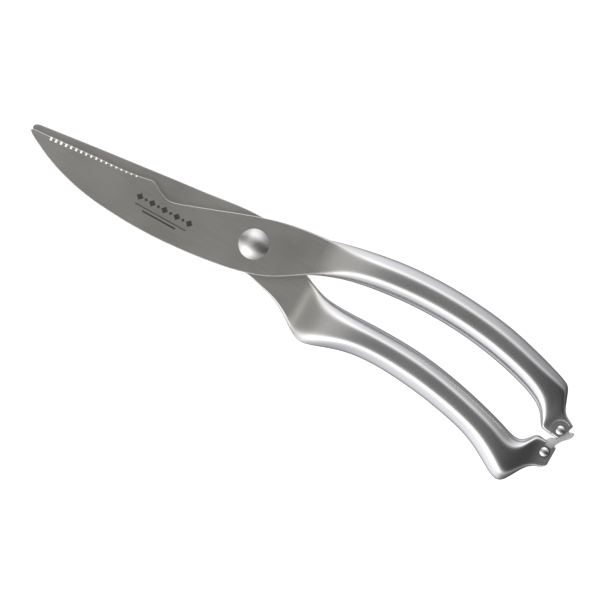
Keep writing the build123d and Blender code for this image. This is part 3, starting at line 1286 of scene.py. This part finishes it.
@dataclass
class Pins:
    """The pivot rivet and the two small pins at the handle ends."""

    pivot_radius: float = 6.2
    pivot_rise: float = 2.0
    pivot_shank: float = 2.98
    pivot_low: float = 1.0
    pin_radius: float = 1.85
    pin_rise: float = 0.6
    catch_shank: float = 0.9
    latch_shank: float = 1.3

    def build(self) -> list[Piece]:
        """Model and dress the pins.

        Returns:
            The new pieces.
        """
        made = []
        pivot = DomedHead(
            "pivot_dome", PIVOT, self.pivot_radius, self.pivot_rise, FRONT_Z, self.pivot_shank,
            self.pivot_low,
        ).build()
        made.append(Bench.finish(pivot, DOME_STEEL, Body.LOWER, "polished_steel", "pivot_rivet"))
        for name, at, shank, body, node in (
            ("catch_stud", CATCH_PIN, self.catch_shank, Body.UPPER, "catch_pin"),
            ("latch_rivet", LATCH_PIN, self.latch_shank, Body.LOWER, "latch_pin"),
        ):
            heads = [
                DomedHead(
                    f"{name}_{word}", at, self.pin_radius, self.pin_rise,
                    MID_Z + up * END_HALF, shank, MID_Z, up,
                ).build()
                for word, up in (("front", 1), ("rear", -1))
            ]
            pin = Bench.join(name, heads)
            made.append(Bench.finish(pin, PIN_STEEL, body, "polished_steel", node))
        return made


@dataclass
class EndRings:
    """Stamped arc round the catch pin, and near-black rings of painted shadow round both pin heads.
    """

    level: float = MID_Z + END_HALF
    arc_radius: float = 4.1
    arc_thickness: float = 0.13
    arc_facing: tuple[float, float, float] = (-0.8, 0.6, 0.0)
    shadow_ring_inner: float = 1.8
    shadow_ring_height: float = 0.05
    catch_half: float = 0.18
    latch_half: float = 0.32

    def _ring(
        self, name: str, at: Point, radius: float, thickness: float, height: float
    ) -> Piece:
        """Model one flat ring that sits on a handle end.

        Args:
            name: Name of the ring.
            at: Its middle.
            radius: Radius of its centre line.
            thickness: Half its width.
            height: Half its height.

        Returns:
            The ring.
        """
        Bench.clear_selection()
        bpy.ops.mesh.primitive_torus_add(
            major_segments=64, minor_segments=8, major_radius=radius * MM,
            minor_radius=thickness * MM,
            location=metres(*at, self.level),
        )
        ring = Bench.named(name)
        ring.scale.z = height / thickness
        Bench.settle(ring)
        return ring

    def build(self) -> list[Piece]:
        """Model and dress the rings.

        Returns:
            The rings.
        """
        thin = self.arc_thickness
        arc = self._ring("catch_stamp", CATCH_PIN, self.arc_radius, thin, thin)
        Bench.edit_all(arc)
        bpy.ops.mesh.bisect(
            plane_co=metres(*CATCH_PIN, 0), plane_no=self.arc_facing,
            clear_inner=True, use_fill=True, threshold=PLANE_TOLERANCE,
        )
        Bench.done()
        Bench.outwards(arc)
        rings = [Bench.finish(arc, UPPER_STEEL, Body.UPPER, "handle_steel")]
        # Painted shadow: flat near-black rings sit on the handle ends where a sunk ring round each
        # pin head would be in shade.
        for name, at, half, body in (
            ("catch_painted_shadow_ring", CATCH_PIN, self.catch_half, Body.UPPER),
            ("latch_painted_shadow_ring", LATCH_PIN, self.latch_half, Body.LOWER),
        ):
            ring = self._ring(name, at, self.shadow_ring_inner + half, half, self.shadow_ring_height)
            rings.append(Bench.finish(ring, PAINTED_RECESS_SHADOW, body, "handle_steel"))
        for ring in rings:
            Bench.soften(ring, degrees=60)
        return rings


def dress_cad(frame: dict) -> None:
    """Give the CAD nodes that stay visible their finishes.
    """
    for node, finish in (
        ("pivot_rear_head", DOME_STEEL), ("pivot_washer", PIN_STEEL), ("pivot_spring", WIRE_STEEL)
    ):
        shape = frame["nodes"][node]
        shape.data.materials.clear()
        shape.data.materials.append(finish.material())


# Studio


@dataclass
class Studio:
    """Pale floor, soft sky and the camera."""

    target: Point = (27.0, -10.6)
    field_mm: float = 240.0
    roll: float = 29.0
    lens: float = 180.0
    focus_height: float = 9.0
    sensor: float = 36.0
    clip_end: float = 100.0        # in metres
    floor_size: float = 6.0        # in metres
    floor_z: float = -0.05
    paper: float = 0.85
    glow: float = 0.8
    tint_span: tuple[float, float] = (25.0, 75.0)
    # Light by the angle in degrees from overhead towards +Y, its share by the X of the
    # direction, and the light overhead by the same X.
    strips: tuple[Point, ...] = (
        (-180, 0.03), (-150, 0.10), (-125, 0.60), (-100, 0.78), (-80, 0.85), (-64, 1.00),
        (-52, 1.30), (-42, 1.90), (-33, 1.80), (-24, 0.65), (-16, 0.10), (-9, 0.0), (10, 0.0),
        (18, 0.10), (27, 0.65), (36, 1.30), (46, 1.15), (58, 0.85), (72, 0.75), (95, 0.72),
        (120, 0.50), (150, 0.10), (180, 0.03),
    )
    along: tuple[Point, ...] = (
        (-1, 0.35), (-0.6, 0.60), (-0.3, 1.0), (0, 1.0), (0.15, 0.85), (0.3, 0.60),
        (0.6, 0.30), (1, 0.15),
    )
    zenith: tuple[Point, ...] = (
        (-1, 0.15), (-0.6, 0.38), (-0.45, 0.60), (-0.3, 0.55), (-0.15, 0.37), (0, 0.235),
        (0.2, 0.13), (0.5, 0.07), (1, 0.05),
    )
    overhead_tint: tuple[float, float, float] = (1.0, 0.99, 0.975)
    side_tint: tuple[float, float, float] = (0.965, 0.96, 1.0)

    def build(self) -> None:
        """Make the floor, the light and the camera."""
        self._floor()
        self._sky()
        self._camera()
        scene = bpy.context.scene
        scene.view_settings.view_transform = "Standard"
        scene.view_settings.look = "None"
        scene.view_settings.exposure = 0.0

    def _floor(self) -> None:
        """A large white floor under the shears."""
        Bench.clear_selection()
        bpy.ops.mesh.primitive_plane_add(size=self.floor_size, location=(0, 0, self.floor_z * MM))
        floor = Bench.named("studio_floor")
        made = bpy.data.materials.new("studio_white")
        made.use_nodes = True
        tree = made.node_tree
        tree.nodes.clear()
        paper = add_node(tree, "BsdfDiffuse", Color=(self.paper, self.paper, self.paper, 1.0))
        glow = add_node(tree, "Emission", Color=WHITE, Strength=self.glow)
        rays = add_node(tree, "LightPath")
        mix = add_node(tree, "MixShader", Fac=rays.outputs["Is Camera Ray"])
        both = add_node(tree, "AddShader")
        feed(tree, both.inputs[0], paper.outputs[0])
        feed(tree, both.inputs[1], glow.outputs[0])
        feed(tree, mix.inputs[1], paper.outputs[0])
        feed(tree, mix.inputs[2], both.outputs[0])
        add_node(tree, "OutputMaterial", Surface=mix.outputs[0])
        floor.data.materials.append(made)
        floor.visible_glossy = False

    def _sky(self) -> None:
        """Soft light that is dim overhead and bright to both sides."""
        world = bpy.data.worlds.new("studio_sky")
        bpy.context.scene.world = world
        world.use_nodes = True
        tree = world.node_tree
        back = tree.nodes["Background"]
        place = add_node(tree, "TexCoord").outputs["Generated"]
        x, y, z = add_node(tree, "SeparateXYZ", Vector=place).outputs
        tilt = math_node(tree, "ARCTAN2", y, z)
        degrees = math_node(tree, "MULTIPLY", tilt, math.degrees(1.0))
        strips = curve_node(tree, degrees, self.strips)
        fall, zenith = (curve_node(tree, x, stops) for stops in (self.along, self.zenith))
        light = math_node(tree, "ADD", math_node(tree, "MULTIPLY", strips, fall), zenith)
        aside = span_node(
            tree, math_node(tree, "ABSOLUTE", degrees), *self.tint_span, 0.0, 1.0
        )
        tint = mix_node(tree, aside, (*self.overhead_tint, 1.0), (*self.side_tint, 1.0))
        feed(tree, back.inputs["Strength"], light)
        feed(tree, back.inputs["Color"], tint)

    def _camera(self) -> None:
        """A long lens looking straight down, turned so that the blades point up to the left."""
        data = bpy.data.cameras.new("camera")
        data.sensor_width = self.sensor
        data.lens = self.lens
        distance = self.field_mm * MM / 2 / (self.sensor / 2 / self.lens)
        camera = bpy.data.objects.new("camera", data)
        bpy.context.scene.collection.objects.link(camera)
        height = self.focus_height * MM + distance
        camera.location = (*metres(*self.target), height)
        camera.rotation_euler = (0, 0, math.radians(self.roll))
        data.clip_end = self.clip_end
        bpy.context.scene.camera = camera


def main() -> None:
    """Build the shears around the frame and light them."""
    logging.basicConfig(level=logging.INFO, format="%(name)s: %(message)s")
    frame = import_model()
    for part in (
        FrontBlade(),
        RearBlade(),
        HollowHandle(
            "upper_handle", Body.UPPER, UPPER_STATIONS, upper_mouth, UPPER_STEEL, "upper_end"
        ),
        HollowHandle(
            "lower_handle", Body.LOWER, LOWER_STATIONS, lower_mouth, LOWER_STEEL, "lower_end"
        ),
        Pins(),
        EndRings(),
        Latch(),
    ):
        for piece in part.build():
            LOG.info("%s: %d faces", piece.name, len(piece.data.polygons))
    dress_cad(frame)
    Studio().build()


if __name__ == "__main__":
    main()
